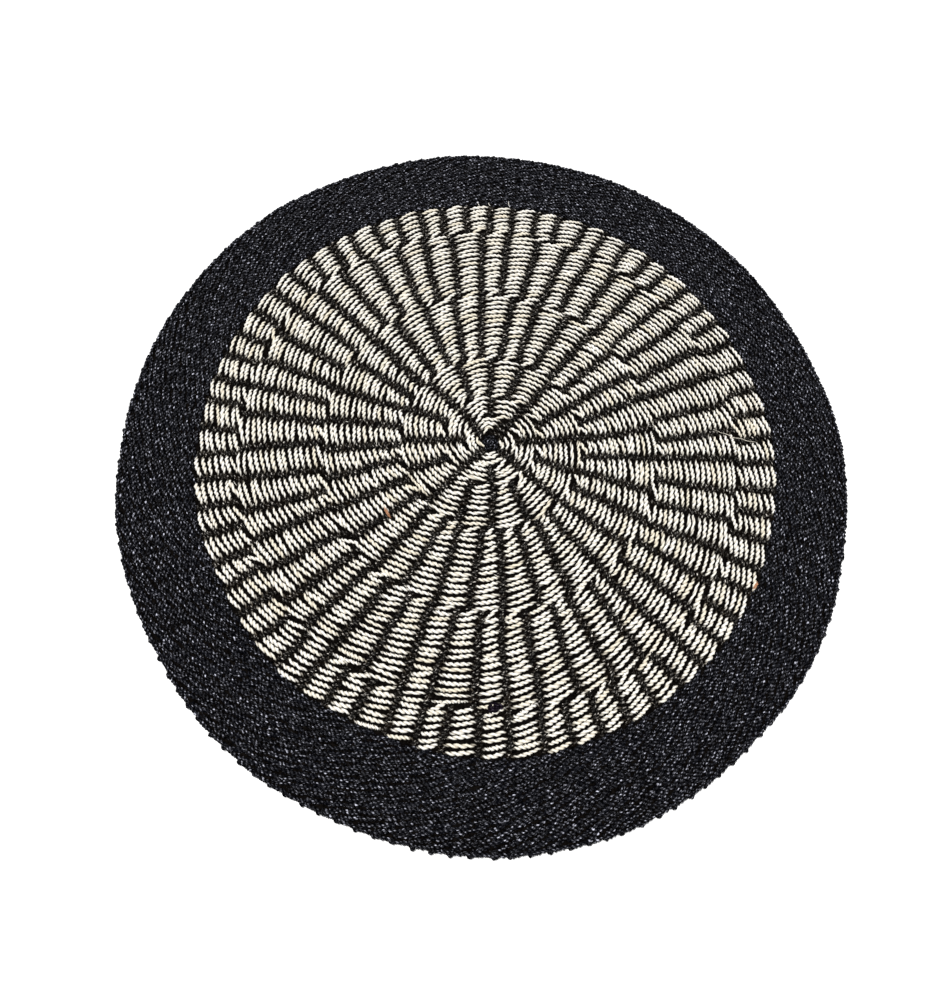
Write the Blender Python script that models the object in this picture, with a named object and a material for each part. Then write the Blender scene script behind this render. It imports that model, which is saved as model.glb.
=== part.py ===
"""Round twined rug of plant-fibre cord, lying flat.

One closed solid: the woven cloth with its rounded rim, the slow unevenness of a hand-worked
outline, and the small knobs where the warp ends are folded back.
The origin is at the middle of the underside, which lies on z = 0.
"""

import math

import bpy

# Driving dimensions, in metres
RADIUS = 0.750  # middle to rim, between the knobs
THICKNESS = 0.010  # two crossing weft cords round a warp
RIM_ROUNDING = 0.003  # radius of the rim's upper and lower edges

KNOB_COUNT = 140  # warps that end at the rim
KNOB_WIDTH_SHARE = 0.42  # of the distance from one knob to the next
KNOB_HEIGHT = 0.0040  # how far a knob stands out
KNOB_UNEVENNESS = 0.25  # share of its height that varies from knob to knob
KNOB_STEP = 2.4  # radians between neighbours on the wave that varies their height

POINTS_ON_KNOB = 5
POINTS_PER_KNOB = POINTS_ON_KNOB + 1  # with one in the dip between two knobs

# The outline swells and draws in a little, by slow waves of one height whose crests step round the rug
OUTLINE_WAVE_HEIGHT = 0.0013
OUTLINE_WAVES_PER_TURN = (2, 3, 5, 8, 11)
OUTLINE_CREST_STEP_DEG = 35

FIBRE_COLOUR = (0.022, 0.022, 0.025, 1.0)  # dyed black cord of the border and the gaps
FIBRE_ROUGHNESS = 0.72


def clear_scene():
    for item in list(bpy.data.objects):
        bpy.data.objects.remove(item, do_unlink=True)


def rim_radius(angle):
    """Radius of the smooth rim at an angle: RADIUS plus the slow waves."""
    swell = 0.0
    for place, per_turn in enumerate(OUTLINE_WAVES_PER_TURN):
        crest = math.radians(OUTLINE_CREST_STEP_DEG * place)
        swell += OUTLINE_WAVE_HEIGHT * math.cos(per_turn * (angle - crest))
    return RADIUS + swell


def knob_height(knob):
    """Height of one knob, a little uneven from one to the next."""
    return KNOB_HEIGHT * (1 - KNOB_UNEVENNESS * (0.5 + 0.5 * math.sin(KNOB_STEP * knob)))


def outline_points():
    """Points round the rim: each knob is a hump, height * cos^2, then a point midway to the next."""
    pitch = 2 * math.pi / KNOB_COUNT
    points = []
    for knob in range(KNOB_COUNT):
        for step in range(POINTS_PER_KNOB):
            if step < POINTS_ON_KNOB:
                across = step / (POINTS_ON_KNOB - 1) - 0.5  # -0.5 to 0.5 across the knob
                rise = knob_height(knob) * math.cos(math.pi * across) ** 2
            else:
                across = 0.5 / KNOB_WIDTH_SHARE  # midway to the next knob
                rise = 0.0
            angle = (knob + across * KNOB_WIDTH_SHARE) * pitch
            radius = rim_radius(angle) + rise
            points.append((radius * math.cos(angle), radius * math.sin(angle)))
    return points


def fibre_material():
    material = bpy.data.materials.new("black_plant_fibre")
    material.use_nodes = True
    shader = material.node_tree.nodes["Principled BSDF"]
    shader.inputs["Base Color"].default_value = FIBRE_COLOUR
    shader.inputs["Roughness"].default_value = FIBRE_ROUGHNESS
    shader.inputs["Metallic"].default_value = 0.0
    return material


def woven_cloth(collection):
    """The rug as a filled flat outline, extruded, with a rounded rim."""
    outline = bpy.data.curves.new("woven_cloth", type="CURVE")
    outline.dimensions = "2D"
    outline.fill_mode = "BOTH"
    outline.extrude = THICKNESS / 2 - RIM_ROUNDING
    outline.bevel_depth = RIM_ROUNDING
    outline.bevel_resolution = 0
    outline.offset = -RIM_ROUNDING

    points = outline_points()
    spline = outline.splines.new("POLY")
    spline.points.add(len(points) - 1)
    for point, (x, y) in zip(spline.points, points):
        point.co = (x, y, 0.0, 1.0)
    spline.use_cyclic_u = True

    outline.materials.append(fibre_material())
    cloth = bpy.data.objects.new("woven_cloth", outline)
    cloth.location.z = THICKNESS / 2
    collection.objects.link(cloth)
    return cloth


def main():
    clear_scene()
    collection = bpy.data.collections.new("twined_rug")
    bpy.context.scene.collection.children.link(collection)
    woven_cloth(collection)


main()
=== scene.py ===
"""A round twined rug of natural fibre: a pale disc of floats in rings of columns, and a wide black border.

Every row is two cords that turn round each other. In the disc one is pale and shows in the columns, and the
other is black and shows in the gaps between them. In the border both are black, and take turns on top.
"""

from collections import namedtuple
import bpy
import numpy as np
from mathutils import Matrix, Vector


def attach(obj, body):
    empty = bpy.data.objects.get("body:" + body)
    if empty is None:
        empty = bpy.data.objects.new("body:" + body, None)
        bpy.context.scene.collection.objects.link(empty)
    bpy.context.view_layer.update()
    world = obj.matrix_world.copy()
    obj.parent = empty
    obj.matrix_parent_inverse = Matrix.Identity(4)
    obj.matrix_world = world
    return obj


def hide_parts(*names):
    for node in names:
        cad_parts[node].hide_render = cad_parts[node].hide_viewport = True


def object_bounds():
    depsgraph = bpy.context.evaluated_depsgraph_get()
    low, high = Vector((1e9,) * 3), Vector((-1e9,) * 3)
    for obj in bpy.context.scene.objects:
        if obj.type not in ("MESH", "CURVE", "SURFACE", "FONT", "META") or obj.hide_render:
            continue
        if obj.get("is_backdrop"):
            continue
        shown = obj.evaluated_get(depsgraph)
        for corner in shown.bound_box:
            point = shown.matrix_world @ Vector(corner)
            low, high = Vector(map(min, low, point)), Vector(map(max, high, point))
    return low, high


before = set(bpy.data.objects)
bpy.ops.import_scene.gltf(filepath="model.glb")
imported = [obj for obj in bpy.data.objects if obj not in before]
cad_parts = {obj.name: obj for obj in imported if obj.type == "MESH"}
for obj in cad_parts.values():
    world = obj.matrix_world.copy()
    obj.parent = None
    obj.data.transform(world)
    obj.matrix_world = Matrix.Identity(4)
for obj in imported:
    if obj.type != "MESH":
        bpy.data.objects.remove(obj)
CAD_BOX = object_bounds()
rng = np.random.default_rng(41)

# ---- sizes, in metres ----

RADIUS = 0.750
THICKNESS = 0.010
MIDDLE = THICKNESS / 2

# The rim wanders in and out, by slow waves of one height whose crests step round the rug.
OUTLINE_WAVE_HEIGHT = 0.0013
OUTLINE_WAVES_PER_TURN = (2, 3, 5, 8, 11)
OUTLINE_CREST_STEP_DEG = 35

# The disc is rings of rows. All the rows of a ring share their gaps, which are evenly spaced from the first.
Ring = namedtuple("Ring", "columns rows first_gap_deg")
RINGS = (
    Ring(4, 3, 55.0),
    Ring(8, 4, 8.0),
    Ring(16, 8, 9.0),
    Ring(32, 14, 1.0),
    Ring(48, 15, 3.5),
    Ring(65, 7, 4.0),
)
FIRST_ROW = 0.0227
ROW_PITCH = 0.01136

# The first row of a ring steps inwards more than the others.
FIRST_ROW_SLANT = 1.7

# A gap's width varies from column to column, and from row to row.
GAP_WIDTH = 0.0127
GAP_COLUMN_VARIETY = 0.10
GAP_ROW_VARIETY = 0.14

# A column's gaps are a little off their even place. They walk from row to row, and each has its own stray.
GAP_STRAY_DEG = 0.35
GAP_WANDER = 0.0007
GAP_UNREST = 0.0012

# Going outwards a column's gaps drift sideways by this share of the way, times cos(a) + cos(2*a) of their
# angle a: forwards at the right of the rug, and backwards at the top and the bottom. A column also slants by
# chance.
GAP_DRIFT = 0.05
GAP_SLANT_UNREST = 0.035

# The cords of the black rows change places at even angles, give or take this much along the row.
BLACK_TURN_UNREST = 0.0006
BORDER_ROWS = 15
BORDER_COLUMNS = 70
BORDER_FIRST_ROW = 0.6025
BORDER_PITCH = 0.0101
HUB_ROWS = (0.0045, 0.0125)
HUB_COLUMNS = 3

# The border's last row is drawn tight, so it is thinner and hardly steps or strays.
LAST_ROW_UNREST = 0.3
LAST_ROW_SIZE = 0.9

# Beside the hub the rows pucker outwards over a crossing of the warp, and one gap opens into a dark wedge.
PUCKER_ANGLE = np.radians(111)
PUCKER_HEIGHT = 0.011
PUCKER_HALF_WIDTH = 0.012
PUCKER_REACH = 0.070
PUCKER_START = 0.022
WEDGE_EXTRA = 0.0075

# The slow waves of the rows are at their full height from this radius outwards.
FULL_WAVER_RADIUS = 0.2

# The middle of the rug is drawn aside, and the rows round it follow less and less.
MIDDLE_DRAWN_TO = (-0.0015, -0.0080)
MIDDLE_DRAWN_REACH = 0.050

# A cord is two plies side by side, laid up in a long twist. Its section has six corners: two at the outer
# side of each ply, and one in each dent between the plies. The corners are rough, and the cord is pressed
# flat.
CORD_HALF_WIDTH = 0.0035
CORD_HALF_DEPTH = 0.0026
CORD_DENT_DEPTH = 0.0017
CORD_ROUGHNESS = 0.12
CORD_FLATNESS = 0.75
PLY_SWAY = 0.0003
FLOOR_GAP = 0.0002

# The length in which the plies make a turn: the pale cords' in the inner, middle and outer band, and the
# black cords'.
PALE_LAYS = (0.026, 0.025, 0.0225)
BLACK_LAY = 0.0158

# A cord's run, which its fibres follow, starts anywhere in this many metres, so that no two look the same.
RUN_STARTS = 50

# How a cord of a row goes: its samples on top and beneath, how far it steps inwards, how far and how suddenly
# it comes up, its size as a share of the full section, how much that varies from float to float, the share of
# it that is lost where it goes under, the length of its lay, how much the rate of its twist varies, and how
# far the cord sways with it.
Course = namedtuple("Course", "over under step lift snap size uneven narrowing lay stray sway")
BLACK_COURSE = Course(
    over=8, under=2, step=0.0038, lift=0.0029, snap=1.8, size=1.0, uneven=0.09, narrowing=0.4,
    lay=BLACK_LAY, stray=0.06, sway=0.0002,
)
PALE_COURSE = BLACK_COURSE._replace(over=14, snap=1.3, size=0.95, stray=0.20, sway=PLY_SWAY)
HUB_COURSE = BLACK_COURSE._replace(under=3, step=0.0020, lift=0.0021, size=0.9)
BORDER_COURSE = BLACK_COURSE._replace(
    over=13, step=0.0042, lift=0.0021, snap=2.2, size=1.08, uneven=0.03, narrowing=0.2
)

# What else is random in a float: how far it lies in or out, how much its step varies, and its bow outwards.
FLOAT_SHIFT = 0.00065
STEP_UNREST = 0.28
FLOAT_BOW = 0.0009
BOW_UNREST = 0.0006

# Beneath, a cord has this share of its twist. It narrows by a small power of the sine of its turn.
TWIST_BENEATH = 0.25
TAPER_POWER = 0.6

# The knobs at the rim stand out past the rows, from the least to the most and back, twice round the rug.
KNOB_COUNT = 140
KNOB_LEAST = 0.0003
KNOB_MOST = 0.0019
KNOB_PEAK_DEG = 107
KNOB_STRAY = 0.003
KNOB_LEAST_SHARE = 0.5
KNOB_WIDTH_VARIETY = 0.1
KNOB_BEND = 0.0034
KNOB_SWEEP = 0.62
KNOB_SAMPLES = 8
KNOB_SIZE = 0.75
KNOB_END_SIZE = 0.02
KNOB_TURNS_PER_METRE = 40.0


def rim_radius(angle):
    """The radius of the rug in that direction: the even circle plus the outline's waves."""
    swell = 0.0
    for place, per_turn in enumerate(OUTLINE_WAVES_PER_TURN):
        crest = np.radians(OUTLINE_CREST_STEP_DEG * place)
        swell = swell + OUTLINE_WAVE_HEIGHT * np.cos(per_turn * (angle - crest))
    return RADIUS + swell


# ---- meshes ----

class Surface:
    """Vertices, quads and their cord coordinates, gathered from several shapes for one piece."""

    def __init__(self):
        self.points, self.quads, self.runs, self.tones, self.count = [], [], [], [], 0

    def add(self, points, quads, runs, tones):
        self.points.append(points)
        self.quads.append(quads + self.count)
        self.runs.append(runs)
        self.tones.append(tones)
        self.count += len(points)

    def piece(self, name, material):
        points = np.concatenate(self.points).astype(np.float32)
        quads = np.concatenate(self.quads).astype(np.int32)
        mesh = bpy.data.meshes.new(name)
        mesh.vertices.add(len(points))
        mesh.vertices.foreach_set("co", points.ravel())
        mesh.loops.add(quads.size)
        mesh.loops.foreach_set("vertex_index", quads.ravel())
        mesh.polygons.add(len(quads))
        mesh.polygons.foreach_set("loop_start", np.arange(0, quads.size, 4, dtype=np.int32))
        mesh.polygons.foreach_set("use_smooth", np.ones(len(quads), dtype=bool))
        layer = mesh.uv_layers.new(name="cord_run")
        layer.uv.foreach_set("vector", np.concatenate(self.runs).astype(np.float32).ravel())
        tone = mesh.attributes.new("tone", "FLOAT", "POINT")
        tone.data.foreach_set("value", np.concatenate(self.tones).astype(np.float32))
        mesh.update()
        mesh.validate()
        mesh.materials.append(material)
        made = bpy.data.objects.new(name, mesh)
        bpy.context.scene.collection.objects.link(made)
        return made


def grid_quads(lines, along, around, closed):
    """Quads of several tubes, each a grid of sections along it and vertices around it, that face outwards."""
    steps = along if closed else along - 1
    line, j, i = np.meshgrid(np.arange(lines), np.arange(steps), np.arange(around), indexing="ij")
    here, there = j, (j + 1) % along
    left, right = i, (i + 1) % around
    start = line * along * around
    corners = [start + here * around + left, start + there * around + left]
    corners += [start + there * around + right, start + here * around + right]
    return np.stack(corners, axis=-1).reshape(-1, 4)


def unit(vectors):
    return vectors / np.linalg.norm(vectors, axis=-1, keepdims=True)


def lay_cords(surface, centres, tones, size, rate, sway=0.0, closed=True):
    """Sweeps the two-ply section along each centre line.

    Centres is (lines, samples, 3), and tones, size and rate, the turns in a metre, are (lines, samples). The
    section turns backwards by the rate, and a closed cord makes a whole number of turns. The cord sways by
    -sin of twice its turn, towards the ply that comes up. No part of it goes below the gap over the floor.
    """
    if closed:
        ahead, behind = np.roll(centres, -1, axis=1), np.roll(centres, 1, axis=1)
        along = unit(ahead - behind)
        gaps = np.linalg.norm(ahead - centres, axis=-1)
    else:
        along = unit(np.gradient(centres, axis=1))
        gaps = np.linalg.norm(np.diff(centres, axis=1), axis=-1)
        gaps = np.concatenate([gaps, 0 * gaps[:, :1]], axis=1)
    sideways = unit(np.cross(along, (0.0, 0.0, 1.0)))
    upwards = np.cross(sideways, along)
    run = np.concatenate([0 * gaps[:, :1], np.cumsum(gaps, axis=1)], axis=1)
    turns = np.concatenate([0 * gaps[:, :1], np.cumsum(gaps * rate, axis=1)], axis=1)
    if closed:
        turns *= np.maximum(np.round(turns[:, -1:]), 1) / turns[:, -1:]
    corner = np.arctan2(CORD_HALF_DEPTH, CORD_HALF_WIDTH)
    around = np.array([-corner, corner, np.pi / 2, np.pi - corner, np.pi + corner, 3 * np.pi / 2])
    tip = np.hypot(CORD_HALF_WIDTH, CORD_HALF_DEPTH)
    reach = np.array([tip, tip, CORD_DENT_DEPTH, tip, tip, CORD_DENT_DEPTH])
    round_cord = len(around)
    twist = 2 * np.pi * turns[:, :-1] + rng.uniform(0, 2 * np.pi, (len(centres), 1))
    turned = around - twist[..., None]
    reach = reach * size[..., None] * rng.normal(1, CORD_ROUGHNESS, turned.shape)
    across = (reach * np.cos(turned))[..., None] * sideways[..., None, :]
    over = (reach * CORD_FLATNESS * np.sin(turned))[..., None] * upwards[..., None, :]
    aside = (-sway * np.sin(2 * twist))[..., None] * sideways
    points = (centres + aside)[..., None, :] + across + over
    points[..., 2] = np.maximum(points[..., 2], FLOOR_GAP)
    lines, samples = size.shape
    steps = samples if closed else samples - 1
    start = rng.uniform(0, RUN_STARTS, (lines, 1))
    here, there = (start + run[:, :steps])[..., None], (start + run[:, 1:steps + 1])[..., None]
    low = around / (2 * np.pi)
    high = np.append(low[1:], low[0] + 1)
    shape = (lines, steps, round_cord)
    corners = [(here, low), (there, low), (there, high), (here, high)]
    runs = [np.stack([np.broadcast_to(a, shape), np.broadcast_to(b, shape)], axis=-1) for a, b in corners]
    quads = grid_quads(lines, samples, round_cord, closed)
    tone = np.repeat(tones.ravel(), round_cord)
    surface.add(points.reshape(-1, 3), quads, np.stack(runs, axis=-2).reshape(-1, 2), tone)


# ---- the twined rows ----

def held(values, over, under):
    """One value for each float, kept along it and carried over to the next float's while beneath."""
    kept = np.repeat(values[..., None], over, axis=-1)
    change = np.arange(under) / under
    carried = values[..., None] + (np.roll(values, -1, axis=-1) - values)[..., None] * change
    return np.concatenate([kept, carried], axis=-1).reshape(len(values), -1)


def twine(surface, rows, starts, ends, course, slants=1.0, unrest=1.0):
    """Lays one cord of each row: it is on top from starts to ends, and beneath until the next start.

    The turn p goes from 0 to pi on top and from pi to 2*pi beneath. The height is the middle plus
    lift*tanh(snap*sin p)/tanh(snap). The cord steps inwards while on top and back out beneath, by the mean of
    cos p and a straight slope. Its thickness is 1 - narrowing*(1 - |sin p|**TAPER_POWER) of its size. Slants
    scale the steps, and unrest scales the shift and the bow.
    """
    over, under, step = course.over, course.under, course.step
    following = np.concatenate([starts[:, 1:], starts[:, :1] + 2 * np.pi], axis=1)
    on_top, beneath = np.arange(over) / over, np.arange(under) / under
    angle_on_top = starts[..., None] + (ends - starts)[..., None] * on_top
    angle_beneath = ends[..., None] + (following - ends)[..., None] * beneath
    angle = np.concatenate([angle_on_top, angle_beneath], axis=-1).reshape(len(rows), -1)
    turn = np.tile(np.concatenate([np.pi * on_top, np.pi * (1 + beneath)]), starts.shape[1])
    slope = 1 - 2 * abs((turn / np.pi + 1) % 2 - 1)
    floats = starts.shape
    shift = held(rng.normal(0, FLOAT_SHIFT, floats) * unrest, over, under)
    slant = held(rng.normal(1, STEP_UNREST, floats) * slants, over, under)
    bow = held(rng.normal(FLOAT_BOW, BOW_UNREST, floats) * unrest, over, under) * np.maximum(np.sin(turn), 0)
    waver = row_waver(rows[:, None], angle)
    reach = rows[:, None] + step * slant * (0.5 * np.cos(turn) + 0.5 * slope) + shift + bow + waver
    reach = reach * rim_radius(angle) / RADIUS
    height = MIDDLE + course.lift * np.tanh(course.snap * np.sin(turn)) / np.tanh(course.snap)
    height = np.broadcast_to(height, reach.shape)
    drawn = np.exp(-(reach / MIDDLE_DRAWN_REACH) ** 2)
    x = reach * np.cos(angle) + MIDDLE_DRAWN_TO[0] * drawn
    y = reach * np.sin(angle) + MIDDLE_DRAWN_TO[1] * drawn
    centres = np.stack([x, y, height], axis=-1)
    tones = held(rng.uniform(0, 1, floats), over, under)
    taper = 1 - course.narrowing * (1 - abs(np.sin(turn)) ** TAPER_POWER)
    thickness = course.size * held(rng.normal(1, course.uneven, floats), over, under) * taper
    twist = np.where(turn < np.pi, 1.0, TWIST_BENEATH)
    rate = held(rng.normal(1, course.stray, floats), over, under) * twist / course.lay
    lay_cords(surface, centres, tones, thickness, rate, course.sway)


def row_waver(radius, angle):
    """How the rows wander in and out together: three slow waves round the rug that drift with the radius.

    The pucker falls off as exp(-distance) aside and outwards, and starts with the cube of the radius.
    """
    slow = 0.0007 * np.sin(9 * angle + 34 * radius)
    middling = 0.0005 * np.sin(23 * angle - 57 * radius + 1.3)
    quick = 0.0004 * np.sin(41 * angle + 90 * radius + 4.0)
    aside = np.arctan2(np.sin(angle - PUCKER_ANGLE), np.cos(angle - PUCKER_ANGLE)) * radius
    pucker = PUCKER_HEIGHT * np.exp(-abs(aside) / PUCKER_HALF_WIDTH - radius / PUCKER_REACH)
    pucker = pucker * np.minimum(radius / PUCKER_START, 1) ** 3
    return (slow + middling + quick) * np.minimum(radius / FULL_WAVER_RADIUS, 1) + pucker


def gap_angles(ring):
    """Where each of a ring's gaps is: evenly spaced, and a little uneven."""
    even = np.radians(ring.first_gap_deg) + 2 * np.pi * np.arange(ring.columns) / ring.columns
    return even + rng.normal(0, np.radians(GAP_STRAY_DEG), ring.columns)


def ring_rows():
    """The radii of each ring's rows, and where each row's gaps start and end.

    A gap's middle is its column's place, plus a slant and a random walk from row to row, and its own stray.
    """
    first = 0
    for ring in RINGS:
        rows = FIRST_ROW + ROW_PITCH * (first + np.arange(ring.rows))
        first += ring.rows
        shape = (ring.rows, ring.columns)
        gaps = gap_angles(ring)
        drift = GAP_DRIFT * (np.cos(gaps) + np.cos(2 * gaps))
        slants = drift + rng.normal(0, GAP_SLANT_UNREST, ring.columns)
        walk = np.cumsum(rng.normal(0, GAP_WANDER, shape), axis=0)
        aside = slants * (rows - rows.mean())[:, None]
        aside = aside + walk - walk.mean(axis=0) + rng.normal(0, GAP_UNREST, shape)
        middles = gaps + aside / rows[:, None]
        widths = rng.normal(1, GAP_COLUMN_VARIETY, ring.columns) * rng.normal(1, GAP_ROW_VARIETY, shape)
        widths *= GAP_WIDTH
        if ring is RINGS[0]:
            widths[:, 0] += 2 * WEDGE_EXTRA
        halves = widths / 2 / rows[:, None]
        yield rows, middles - halves, middles + halves


def make_disc(natural, black):
    """The disc's rows in three bands, each with a piece of pale cords and a piece of black ones."""
    rings = list(ring_rows())
    bands = {"inner": rings[:4], "middle": rings[4:5], "outer": rings[5:]}
    made = []
    for (band, members), lay in zip(bands.items(), PALE_LAYS):
        pale, dark = Surface(), Surface()
        pale_course = PALE_COURSE._replace(lay=lay)
        for rows, gap_starts, gap_ends in members:
            next_gaps = np.concatenate([gap_starts[:, 1:], gap_starts[:, :1] + 2 * np.pi], axis=1)
            slants = np.where(np.arange(len(rows)) == 0, FIRST_ROW_SLANT, 1.0)[:, None]
            twine(pale, rows, gap_ends, next_gaps, pale_course, slants)
            twine(dark, rows, gap_starts, gap_ends, BLACK_COURSE)
        made.append(pale.piece(f"natural_weft_{band}", natural))
        made.append(dark.piece(f"black_weft_{band}", black))
    return made


def make_black_rows(name, rows, columns, course, material, unrest=1.0):
    """Rows of two black cords that take turns on top, each for half of a column."""
    surface = Surface()
    pitch = 2 * np.pi / columns
    shape = (len(rows), columns)
    first = pitch * np.arange(columns) + rng.normal(0, BLACK_TURN_UNREST, shape) / rows[:, None]
    second = first + pitch / 2 + rng.normal(0, BLACK_TURN_UNREST, shape) / rows[:, None]
    following = np.concatenate([first[:, 1:], first[:, :1] + 2 * np.pi], axis=1)
    twine(surface, rows, first, second, course, unrest, unrest)
    twine(surface, rows, second, following, course, unrest, unrest)
    return surface.piece(name, material)


def make_border(material):
    """The border's rows, in three bands of a piece each."""
    rows = BORDER_FIRST_ROW + BORDER_PITCH * np.arange(BORDER_ROWS)
    unrest, size = np.ones((BORDER_ROWS, 1)), np.full((BORDER_ROWS, 1), BORDER_COURSE.size)
    unrest[-1], size[-1] = LAST_ROW_UNREST, LAST_ROW_SIZE
    names = ("black_border_inner", "black_border_middle", "black_border_outer")
    made = []
    for name, band in zip(names, np.array_split(np.arange(BORDER_ROWS), len(names))):
        course = BORDER_COURSE._replace(size=size[band])
        made.append(make_black_rows(name, rows[band], BORDER_COLUMNS, course, material, unrest[band]))
    return made


# ---- ground and rim ----

def make_ground(material):
    """The warp under the rows: a closed thin disc whose faces are ridged along the radii.

    A share of the way out and an angle give each vertex, at the middle height plus or minus half the
    thickness. There is a ridge to each knob at the rim, at its full height from a third of the way out.
    """
    rings, sides, half, inset, ridge = 5, 700, 0.0008, 0.004, 0.0005
    share = np.linspace(0, 1, rings + 1)[1:]
    angle = 2 * np.pi * np.arange(sides) / sides
    reach = share[:, None] * (rim_radius(angle) - inset)
    ridges = ridge * np.cos(KNOB_COUNT * angle) * np.minimum(share * 3, 1)[:, None]
    flat = np.stack([reach * np.cos(angle), reach * np.sin(angle)], axis=-1)
    top = np.concatenate([flat, (MIDDLE + half + ridges)[..., None]], axis=-1).reshape(-1, 3)
    bottom = np.concatenate([flat, (MIDDLE - half + ridges)[..., None]], axis=-1).reshape(-1, 3)
    points = np.concatenate([top, bottom, [[0, 0, MIDDLE + half], [0, 0, MIDDLE - half]]])
    j, i = np.meshgrid(np.arange(rings - 1), np.arange(sides), indexing="ij")
    k = (i + 1) % sides
    upper = np.stack([j * sides + i, (j + 1) * sides + i, (j + 1) * sides + k, j * sides + k], axis=-1)
    upper = upper.reshape(-1, 4)
    lower = upper[:, ::-1] + len(top)
    i, k = np.arange(sides), (np.arange(sides) + 1) % sides
    rim = (rings - 1) * sides
    wall = np.stack([rim + k, rim + i, rim + i + len(top), rim + k + len(top)], axis=-1)[:, ::-1]
    upper_hub = np.stack([np.full(sides, 2 * len(top)), i, k], axis=-1)
    lower_hub = np.stack([np.full(sides, 2 * len(top) + 1), k + len(top), i + len(top)], axis=-1)
    faces = upper.tolist() + lower.tolist() + wall.tolist() + upper_hub.tolist() + lower_hub.tolist()
    mesh = bpy.data.meshes.new("woven_ground")
    mesh.from_pydata(points.tolist(), [], faces)
    mesh.materials.append(material)
    made = bpy.data.objects.new("woven_ground", mesh)
    bpy.context.scene.collection.objects.link(made)
    return made


def make_knobs(material):
    """The folded warp ends at the rim: hairpin loops of cord that lie flat and stand out past the rows.

    A loop is an arc of the bend's radius that sweeps to both sides of its outermost point. Its ends are thin,
    inside the rows.
    """
    surface = Surface()
    middle = 2 * np.pi * np.arange(KNOB_COUNT) / KNOB_COUNT + rng.normal(0, KNOB_STRAY, KNOB_COUNT)
    sweep = np.linspace(-KNOB_SWEEP, KNOB_SWEEP, KNOB_SAMPLES) * np.pi
    swell = 0.5 + 0.5 * np.cos(2 * (middle - np.radians(KNOB_PEAK_DEG)))
    height = KNOB_LEAST + (KNOB_MOST - KNOB_LEAST) * swell * rng.uniform(KNOB_LEAST_SHARE, 1, KNOB_COUNT)
    out = (rim_radius(middle) + height - KNOB_BEND - CORD_HALF_DEPTH)[:, None] + KNOB_BEND * np.cos(sweep)
    aside = KNOB_BEND * np.sin(sweep)[None, :] * rng.normal(1, KNOB_WIDTH_VARIETY, (KNOB_COUNT, 1))
    angle = middle[:, None]
    x = out * np.cos(angle) - aside * np.sin(angle)
    y = out * np.sin(angle) + aside * np.cos(angle)
    centres = np.stack([x, y, np.full(x.shape, MIDDLE)], axis=-1)
    size = np.full(x.shape, KNOB_SIZE)
    size[:, [0, -1]] = KNOB_END_SIZE
    rate = np.full(x.shape, KNOB_TURNS_PER_METRE)
    lay_cords(surface, centres, np.full(x.shape, 0.5), size, rate, PLY_SWAY, closed=False)
    return surface.piece("folded_warp_ends", material)


# ---- fibres and knots that lie on the rows ----

# The height at which they lie.
LYING_HEIGHT = 0.0101

# A fibre's least thickness as a share of a cord's, how bluntly it draws in, and its twist.
FIBRE_LEAST_SIZE = 0.004
FIBRE_TAPER_POWER = 0.4
FIBRE_TURNS_PER_METRE = 60.0

# Wisps are scattered between two shares of the rug's area. Their ends dip into the weave, which holds them.
WISP_COUNT = 70
WISP_AREA_SHARES = (0.05, 0.62)
WISP_LENGTHS = (0.007, 0.016)
WISP_TURN = 0.7
WISP_CURL = 0.0016
WISP_TILT = 0.0004
WISP_DIP = 0.0050

# Three more stick out past the disc's upper edge. They start at one radius, and each ends at its own.
EdgeWisp = namedtuple("EdgeWisp", "angle_deg outer")
EDGE_WISPS = (EdgeWisp(93.5, 0.612), EdgeWisp(98.0, 0.603), EdgeWisp(100.5, 0.605))
EDGE_WISP_START = 0.592
EDGE_WISP_LEAN_DEG = 0.4

# A tuft of rust coloured fibre has strands side by side along the row, each a little shorter and higher than
# the last.
Tuft = namedtuple("Tuft", "angle_deg radius length")
RUST_TUFTS = (Tuft(-21.4, 0.596, 0.020), Tuft(225.4, 0.262, 0.030))
RUST_STRANDS = 3
RUST_STRAND_PITCH = 0.0016
RUST_STRAND_SHORTENING = 0.2
RUST_STRAND_RISE = 0.0002
RUST_TURN_DEG = 84

# The joining knot: its place, half its length and width, how deep its lobes are, and how it lies and swings.
KNOT_PLACE = (0.076, -0.509)
KNOT_HALF_LENGTH = 0.0088
KNOT_HALF_WIDTH = 0.0046
KNOT_LOBE_DEPTH = 0.5
KNOT_SIZE = 0.75
KNOT_TILT_DEG = 16
KNOT_DROP = 0.0004
KNOT_SWING = 0.0014


def lay_fibres(surface, paths, width, tone):
    """Single fibres that lie on the rows: thin cords whose ends draw in to a point.

    Paths is (lines, samples, 3). The thickness is the width times the sine of the way along to a small power.
    """
    way = np.linspace(0, np.pi, paths.shape[1])
    size = width / CORD_HALF_WIDTH / 2 * np.maximum(np.sin(way), 0) ** FIBRE_TAPER_POWER + FIBRE_LEAST_SIZE
    shape = paths.shape[:2]
    rate = np.full(shape, FIBRE_TURNS_PER_METRE)
    lay_cords(surface, paths, tone * np.ones(shape), size * np.ones(shape), rate, closed=False)


def polar_place(angle_deg, radius):
    return np.array([np.cos(np.radians(angle_deg)), np.sin(np.radians(angle_deg))]) * radius


def wandering_path(start, end, height, samples, sag, waves):
    """From start to end, bowed sideways by sag times a half sine, with small waves that fade at both ends."""
    way = np.linspace(0, 1, samples)[:, None]
    along = np.array(end) - np.array(start)
    aside = np.array([-along[1], along[0]]) / np.hypot(*along)
    bow = sag * np.sin(np.pi * way) + waves * np.sin(np.pi * way) * np.sin(19 * way + 2)
    flat = np.array(start) + along * way + aside * bow
    return np.concatenate([flat, np.full((samples, 1), height)], axis=1)


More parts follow.
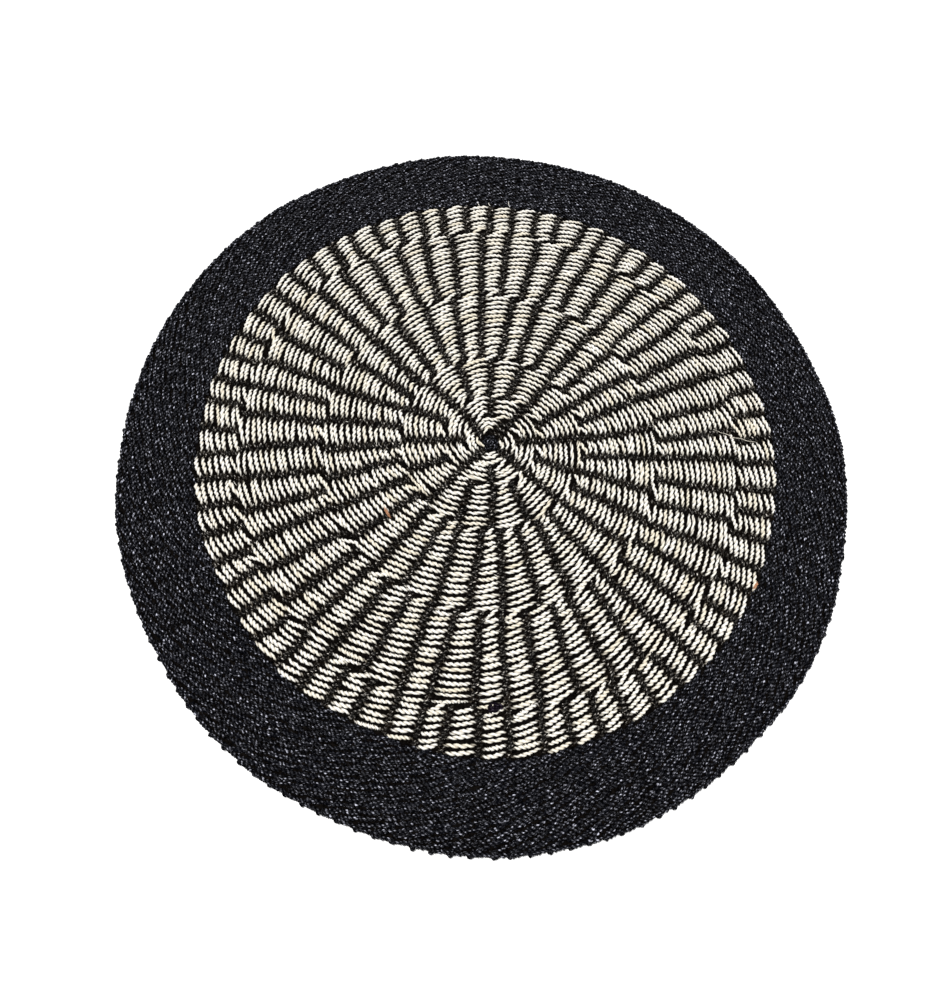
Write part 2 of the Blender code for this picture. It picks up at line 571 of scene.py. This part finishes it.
def make_loose_fibre(material):
    """One long fibre that has worked loose, at the right of the disc."""
    surface = Surface()
    start, end = polar_place(12.3, 0.632 * RADIUS), polar_place(8.7, 0.754 * RADIUS)
    path = wandering_path(start, end, LYING_HEIGHT, samples=36, sag=-0.004, waves=0.0012)
    lay_fibres(surface, path[None], width=0.0011, tone=0.1)
    return surface.piece("loose_fibre", material)


def make_wisps(material):
    """Short ends of pale fibre that stick out of the floats, all over the disc and a few past its edge.

    A wisp lies roughly along its row. It curls sideways and goes down at its ends, both by the square of the
    way from its middle.
    """
    surface = Surface()
    angle = rng.uniform(0, 2 * np.pi, WISP_COUNT)
    reach = np.sqrt(rng.uniform(*WISP_AREA_SHARES, WISP_COUNT)) * RADIUS
    turn = (angle + np.pi / 2 + rng.normal(0, WISP_TURN, WISP_COUNT))[:, None]
    length = rng.uniform(*WISP_LENGTHS, WISP_COUNT)[:, None]
    way = np.linspace(-0.5, 0.5, 7)[None, :]
    curl = rng.normal(0, WISP_CURL, (WISP_COUNT, 1)) * (1 - 4 * way**2)
    x = (reach * np.cos(angle))[:, None] + length * way * np.cos(turn) - curl * np.sin(turn)
    y = (reach * np.sin(angle))[:, None] + length * way * np.sin(turn) + curl * np.cos(turn)
    lying = LYING_HEIGHT + WISP_TILT * np.sin(6 * way) - WISP_DIP * (2 * way) ** 2
    paths = np.stack([x, y, lying + 0 * x], axis=-1)
    lay_fibres(surface, paths, width=0.0010, tone=0.6)
    for wisp in EDGE_WISPS:
        start = polar_place(wisp.angle_deg, EDGE_WISP_START)
        end = polar_place(wisp.angle_deg + EDGE_WISP_LEAN_DEG, wisp.outer)
        path = wandering_path(start, end, LYING_HEIGHT, samples=7, sag=0.0010, waves=0.0004)
        lay_fibres(surface, path[None], width=0.0013, tone=0.8)
    return surface.piece("fibre_wisps", material)


def make_rust_flecks(material):
    """Two tufts of rust coloured fibre that were spun in: short strands side by side along the row."""
    surface = Surface()
    for tuft in RUST_TUFTS:
        for k in range(RUST_STRANDS):
            middle = polar_place(tuft.angle_deg, tuft.radius + RUST_STRAND_PITCH * (k - 1))
            half_length = tuft.length * (1 - RUST_STRAND_SHORTENING * k) / 2
            along = polar_place(tuft.angle_deg + RUST_TURN_DEG, half_length)
            height = LYING_HEIGHT + RUST_STRAND_RISE * k
            path = wandering_path(middle - along, middle + along, height, samples=9, sag=0.0008, waves=0.0003)
            lay_fibres(surface, path[None], width=0.0019, tone=0.5)
    return surface.piece("rust_fibre_flecks", material)


def make_joining_knot(material):
    """The knot where a new black cord was joined in, below the middle: a flat three-lobed knot.

    Going round, the radius swings three times in two turns, and the height swings with it so that it passes
    over and under itself.
    """
    surface = Surface()
    way = np.linspace(0, 2 * np.pi, 49)[:-1]
    reach = 1 + KNOT_LOBE_DEPTH * np.cos(3 * way)
    along = KNOT_HALF_LENGTH * reach * np.cos(2 * way)
    across = KNOT_HALF_WIDTH * reach * np.sin(2 * way)
    tilt = np.radians(KNOT_TILT_DEG)
    x = KNOT_PLACE[0] + along * np.cos(tilt) - across * np.sin(tilt)
    y = KNOT_PLACE[1] + along * np.sin(tilt) + across * np.cos(tilt)
    z = LYING_HEIGHT - KNOT_DROP + KNOT_SWING * np.sin(3 * way)
    centres = np.stack([x, y, z], axis=-1)[None]
    ones = np.ones((1, len(way)))
    lay_cords(surface, centres, 0.4 * ones, KNOT_SIZE * ones, ones / BLACK_LAY)
    return surface.piece("joining_knot", material)


# ---- materials ----

WHITE = (1.0, 1.0, 1.0)
MIX_FACTOR, MIX_FIRST, MIX_SECOND, MIX_RESULT = 0, 6, 7, 2  # the sockets of a Mix node that mixes colours
GROOVE_POWER = 4.0

# How much of the painted glint colour a painted highlight shows: none where the streaks are weak, and all
# of it where they peak.
GLINT_SHARES = ((0.52, 0.0), (0.595, 0.011), (0.66, 0.045), (0.72, 0.18), (0.81, 1.0))
# The painted highlight that the crowns of the plies get beyond the streaks.
CROWN_GLINT = 0.12
GLINT_ROUGHNESS = ((0.58, (0.42, 0.42, 0.42)), (0.70, (0.30, 0.30, 0.30)))


def feed(tree, socket, value):
    """Sets the socket to a value, or links it to the output that is given."""
    if isinstance(value, bpy.types.NodeSocket):
        tree.links.new(value, socket)
    else:
        socket.default_value = value


def add_node(tree, kind, sockets=(), **settings):
    """A node with its settings, and its sockets given as values or as the outputs that feed them."""
    made = tree.nodes.new(kind)
    for setting, value in settings.items():
        setattr(made, setting, value)
    for socket, value in dict(sockets).items():
        feed(tree, made.inputs[socket], value)
    return made


def add_ramp(tree, factor, stops):
    """A colour ramp through (place, colour) stops."""
    ramp = add_node(tree, "ShaderNodeValToRGB", {"Fac": factor})
    elements = ramp.color_ramp.elements
    while len(elements) < len(stops):
        elements.new(0.5)
    for element, (place, colour) in zip(elements, stops):
        element.position = place
        element.color = (*colour, 1)
    return ramp.outputs["Color"]


def add_maths(tree, operation, *values):
    made = tree.nodes.new("ShaderNodeMath")
    made.operation = operation
    for socket, value in zip(made.inputs, values):
        feed(tree, socket, value)
    return made.outputs["Value"]


def fibre_streaks(tree, along, across, seed, back=0.0):
    """Streaks that run along the cord: noise on the cord's own run, drawn out along it.

    Along and across are the noise's waves in a metre and in a turn. Back is how much the fibres are wound
    against the twist of the cord, in turns in a metre.
    """
    run = add_node(tree, "ShaderNodeUVMap", uv_map="cord_run").outputs["UV"]
    parts = add_node(tree, "ShaderNodeSeparateXYZ", {"Vector": run}).outputs
    around = add_maths(tree, "MULTIPLY_ADD", parts["X"], -back, parts["Y"])
    wound = add_node(tree, "ShaderNodeCombineXYZ", {"X": parts["X"], "Y": around}).outputs["Vector"]
    sockets = {"Vector": wound, "Scale": (along, across, 1), "Location": (0, 0, seed)}
    drawn = add_node(tree, "ShaderNodeMapping", sockets).outputs["Vector"]
    noise = add_node(tree, "ShaderNodeTexNoise", {"Vector": drawn, "Scale": 1.0, "Detail": 3.0})
    return noise.outputs["Fac"]


def ply_groove(tree):
    """1 in the two grooves between the plies and 0 on their backs: a power of |sin| round the cord."""
    run = add_node(tree, "ShaderNodeUVMap", uv_map="cord_run").outputs["UV"]
    around = add_node(tree, "ShaderNodeSeparateXYZ", {"Vector": run}).outputs["Y"]
    turn = add_maths(tree, "MULTIPLY", around, 2 * np.pi)
    wave = add_maths(tree, "ABSOLUTE", add_maths(tree, "SINE", turn))
    return add_maths(tree, "POWER", wave, GROOVE_POWER)


def new_material(name):
    material = bpy.data.materials.new(name)
    material.use_nodes = True
    tree = material.node_tree
    return material, tree, tree.nodes["Principled BSDF"]


def mixed(tree, factor, first, second, blend="MIX"):
    mix = add_node(tree, "ShaderNodeMix", data_type="RGBA", blend_type=blend)
    for socket, value in ((MIX_FACTOR, factor), (MIX_FIRST, first), (MIX_SECOND, second)):
        feed(tree, mix.inputs[socket], value)
    return mix.outputs[MIX_RESULT]


def add_bump(tree, shader, height, strength, distance):
    sockets = {"Height": height, "Strength": strength, "Distance": distance}
    bump = add_node(tree, "ShaderNodeBump", sockets)
    tree.links.new(bump.outputs["Normal"], shader.inputs["Normal"])


def hollow_shade(tree, depths, colour):
    """Painted shade by the distance from mid-height: the colour in the hollows, white on the cords' backs."""
    place = add_node(tree, "ShaderNodeTexCoord").outputs["Object"]
    height = add_node(tree, "ShaderNodeSeparateXYZ", {"Vector": place}).outputs["Z"]
    away = add_maths(tree, "ABSOLUTE", add_maths(tree, "SUBTRACT", height, MIDDLE))
    sockets = {"Value": away, "From Min": depths[0], "From Max": depths[1]}
    share = add_node(tree, "ShaderNodeMapRange", sockets).outputs["Result"]
    return add_ramp(tree, share, ((0.0, colour), (1.0, WHITE)))


def natural_fibre():
    """Pale twisted grass: ivory to straw from float to float, streaked along the fibres, dull and dry."""
    material, tree, shader = new_material("natural_fibre")
    tone = add_node(tree, "ShaderNodeAttribute", attribute_name="tone").outputs["Fac"]
    stops = (
        (0.0, (0.86, 0.80, 0.66)),
        (0.1, (0.895, 0.85, 0.74)),
        (0.25, (0.91, 0.88, 0.79)),
        (1.0, (0.97, 0.95, 0.895)),
    )
    body = add_ramp(tree, tone, stops)
    streaks = fibre_streaks(tree, along=190, across=12, seed=2.0)
    streak_strength, groove_shade_strength = 0.7, 0.48
    shade = add_ramp(tree, streaks, ((0.30, (0.66, 0.57, 0.42)), (0.50, WHITE), (1.0, WHITE)))
    streaked = mixed(tree, streak_strength, body, shade, "MULTIPLY")
    # Painted shade: the grooves between the plies are darkened towards a brown.
    groove = add_maths(tree, "MULTIPLY", ply_groove(tree), groove_shade_strength)
    groove_shaded = mixed(tree, groove, streaked, (0.22, 0.17, 0.11, 1))
    # Painted shade: the hollows under the cords' backs are darkened towards a deep brown.
    hollows = hollow_shade(tree, depths=(0.0012, 0.0038), colour=(0.05, 0.041, 0.030))
    colour = mixed(tree, 1.0, groove_shaded, hollows, "MULTIPLY")
    tree.links.new(colour, shader.inputs["Base Color"])
    shader.inputs["Roughness"].default_value = 0.72
    shader.inputs["Specular IOR Level"].default_value = 0.25
    add_bump(tree, shader, streaks, strength=0.5, distance=0.0006)
    return material


def black_fibre(name, body_stops, painted_glint_colour, depths):
    """Dyed black grass whose smooth fibres show small painted highlights: glints of the painted glint colour.

    The glint is the streaks, plus a little more on the crowns of the plies, and painted shade dims it in the
    hollows. The fibres are wound back by the lay, which brings them in line with the cord.
    """
    material, tree, shader = new_material(name)
    tone = add_node(tree, "ShaderNodeAttribute", attribute_name="tone").outputs["Fac"]
    body = add_ramp(tree, tone, body_stops)
    streaks = fibre_streaks(tree, along=110, across=9, seed=5.0, back=1.0 / BLACK_LAY)
    crown = add_maths(tree, "SUBTRACT", 1.0, ply_groove(tree))
    glint = add_maths(tree, "MULTIPLY_ADD", crown, CROWN_GLINT, streaks)
    # Painted highlights in the glint colour, dimmed by painted shade in the hollows, added to the body.
    stops = [(place, tuple(share * part for part in painted_glint_colour)) for place, share in GLINT_SHARES]
    painted_glints = add_ramp(tree, glint, stops)
    lit = mixed(tree, 1.0, painted_glints, hollow_shade(tree, depths, colour=(0.06, 0.06, 0.06)), "MULTIPLY")
    streaked = mixed(tree, 1.0, body, lit, "ADD")
    tree.links.new(streaked, shader.inputs["Base Color"])
    tree.links.new(add_ramp(tree, glint, GLINT_ROUGHNESS), shader.inputs["Roughness"])
    shader.inputs["Specular IOR Level"].default_value = 0.03
    add_bump(tree, shader, streaks, strength=0.3, distance=0.0010)
    return material


def border_fibre():
    """The border's black, which is a little blue."""
    stops = (
        (0.0, (0.0009, 0.0007, 0.0010)),
        (0.3, (0.0005, 0.0005, 0.0010)),
        (0.7, (0.0007, 0.0008, 0.0020)),
        (1.0, (0.0018, 0.0020, 0.0036)),
    )
    return black_fibre("border_black_fibre", stops, painted_glint_colour=(0.74, 0.75, 0.87), depths=(0.0010, 0.0048))


def disc_fibre():
    """The black of the disc's gaps, which is a little brown."""
    stops = (
        (0.0, (0.0060, 0.0036, 0.0018)),
        (0.3, (0.0022, 0.0014, 0.0008)),
        (0.7, (0.0016, 0.0012, 0.0010)),
        (1.0, (0.0030, 0.0024, 0.0022)),
    )
    return black_fibre("disc_black_fibre", stops, painted_glint_colour=(0.92, 0.86, 0.78), depths=(0.0012, 0.0050))


def knot_fibre():
    """The joining cord's black, which is deep and has hardly a painted glint."""
    stops = ((0.0, (0.0020, 0.0012, 0.0022)), (1.0, (0.0034, 0.0020, 0.0040)))
    return black_fibre("knot_black_fibre", stops, painted_glint_colour=(0.12, 0.09, 0.14), depths=(0.0012, 0.0052))


def rust_fibre():
    """The odd dyed strand: rust, darker along its streaks."""
    material, tree, shader = new_material("rust_fibre")
    streaks = fibre_streaks(tree, along=300, across=6, seed=8.0)
    stops = ((0.3, (0.12, 0.05, 0.03)), (0.5, (0.42, 0.19, 0.09)), (0.8, (0.70, 0.45, 0.27)))
    tree.links.new(add_ramp(tree, streaks, stops), shader.inputs["Base Color"])
    shader.inputs["Roughness"].default_value = 0.7
    return material


def ground_fibre():
    """The black warp under the rows, dull and deep in shade: fine dark noise, with no glint."""
    material, tree, shader = new_material("ground_fibre")
    place = add_node(tree, "ShaderNodeTexCoord").outputs["Object"]
    noise = add_node(tree, "ShaderNodeTexNoise", {"Vector": place, "Scale": 260.0, "Detail": 3.0})
    grain = noise.outputs["Fac"]
    colour = add_ramp(tree, grain, ((0.3, (0.0007, 0.0006, 0.0006)), (0.75, (0.0070, 0.0055, 0.0046))))
    tree.links.new(colour, shader.inputs["Base Color"])
    shader.inputs["Roughness"].default_value = 0.9
    shader.inputs["Specular IOR Level"].default_value = 0.0
    add_bump(tree, shader, grain, strength=0.6, distance=0.001)
    return material


def studio_floor():
    material, _, shader = new_material("studio_floor")
    shader.inputs["Base Color"].default_value = (0.92, 0.92, 0.92, 1)
    shader.inputs["Roughness"].default_value = 0.9
    shader.inputs["Specular IOR Level"].default_value = 0.1
    return material


# ---- studio ----

CAMERA_PLACE = (-0.0386, -0.4641, 1.2638)
CAMERA_ELEVATION_DEG = 70.0
CAMERA_ROLL_DEG = 8.85
CAMERA_LENS = 23.27
CAMERA_SHIFT_UP = -0.0582


def make_camera():
    """A camera that looks down at the elevation, along +Y, and is rolled about its line of sight."""
    elevation, roll = np.radians(CAMERA_ELEVATION_DEG), np.radians(CAMERA_ROLL_DEG)
    forward = np.array([0, np.cos(elevation), -np.sin(elevation)])
    level = np.array([1.0, 0, 0])
    upright = np.cross(level, forward)
    right = np.cos(roll) * level + np.sin(roll) * upright
    up = -np.sin(roll) * level + np.cos(roll) * upright
    data = bpy.data.cameras.new("camera")
    data.lens = CAMERA_LENS
    data.shift_y = CAMERA_SHIFT_UP
    data.clip_start = 0.01
    camera = bpy.data.objects.new("camera", data)
    turned = Matrix(np.column_stack([right, up, -forward]).tolist()).to_4x4()
    camera.matrix_world = Matrix.Translation(CAMERA_PLACE) @ turned
    bpy.context.scene.collection.objects.link(camera)
    bpy.context.scene.camera = camera


def make_light(name, place, strength, angle_deg):
    """A soft, even light that comes from the place's direction: the angle is how wide its source looks."""
    data = bpy.data.lights.new(name, "SUN")
    data.energy = strength
    data.angle = np.radians(angle_deg)
    light = bpy.data.objects.new(name, data)
    back = unit(np.array(place, dtype=float))
    side = unit(np.cross((0.0, 1.0, 0.0), back))
    turned = Matrix(np.column_stack([side, np.cross(back, side), back]).tolist()).to_4x4()
    light.matrix_world = Matrix.Translation(place) @ turned
    bpy.context.scene.collection.objects.link(light)


def make_world():
    """A white studio backdrop to look at, which adds only a little light of its own."""
    world = bpy.data.worlds.new("studio")
    world.use_nodes = True
    tree = world.node_tree
    background = tree.nodes["Background"]
    background.inputs["Color"].default_value = (1, 1, 1, 1)
    looked_at = add_node(tree, "ShaderNodeLightPath").outputs["Is Camera Ray"]
    strength = add_node(tree, "ShaderNodeMapRange", {"Value": looked_at, "To Min": 0.05, "To Max": 1.0})
    tree.links.new(strength.outputs["Result"], background.inputs["Strength"])
    bpy.context.scene.world = world


def make_studio():
    side = 12.0
    mesh = bpy.data.meshes.new("floor")
    corners = [(-side, -side, 0), (side, -side, 0), (side, side, 0), (-side, side, 0)]
    mesh.from_pydata(corners, [], [(0, 1, 2, 3)])
    mesh.materials.append(studio_floor())
    floor = bpy.data.objects.new("floor", mesh)
    bpy.context.scene.collection.objects.link(floor)
    floor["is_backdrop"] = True
    make_light("key", (-1.3, 1.6, 4.4), strength=3.9, angle_deg=12)
    make_light("fill", (2.4, -1.8, 3.6), strength=1.25, angle_deg=18)
    make_world()
    bpy.context.scene.view_settings.view_transform = "Standard"


# ---- the rug ----

make_camera()
make_studio()
natural, border_black, disc_black = natural_fibre(), border_fibre(), disc_fibre()
ground = make_ground(ground_fibre())
cords = make_disc(natural, disc_black)
cords += make_border(border_black)
cords.append(make_black_rows("black_hub", np.array(HUB_ROWS), HUB_COLUMNS, HUB_COURSE, border_black))
cords.append(make_knobs(border_black))
cords.append(make_joining_knot(knot_fibre()))
cords.append(make_loose_fibre(natural))
cords.append(make_wisps(natural))
cords.append(make_rust_flecks(rust_fibre()))

for piece in cords:
    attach(piece, "root")
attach(ground, "root")
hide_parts("woven_cloth")

boxes = {"cad": CAD_BOX, "visual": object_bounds()}
{name: [[float(v) for v in corner] for corner in box] for name, box in boxes.items()}
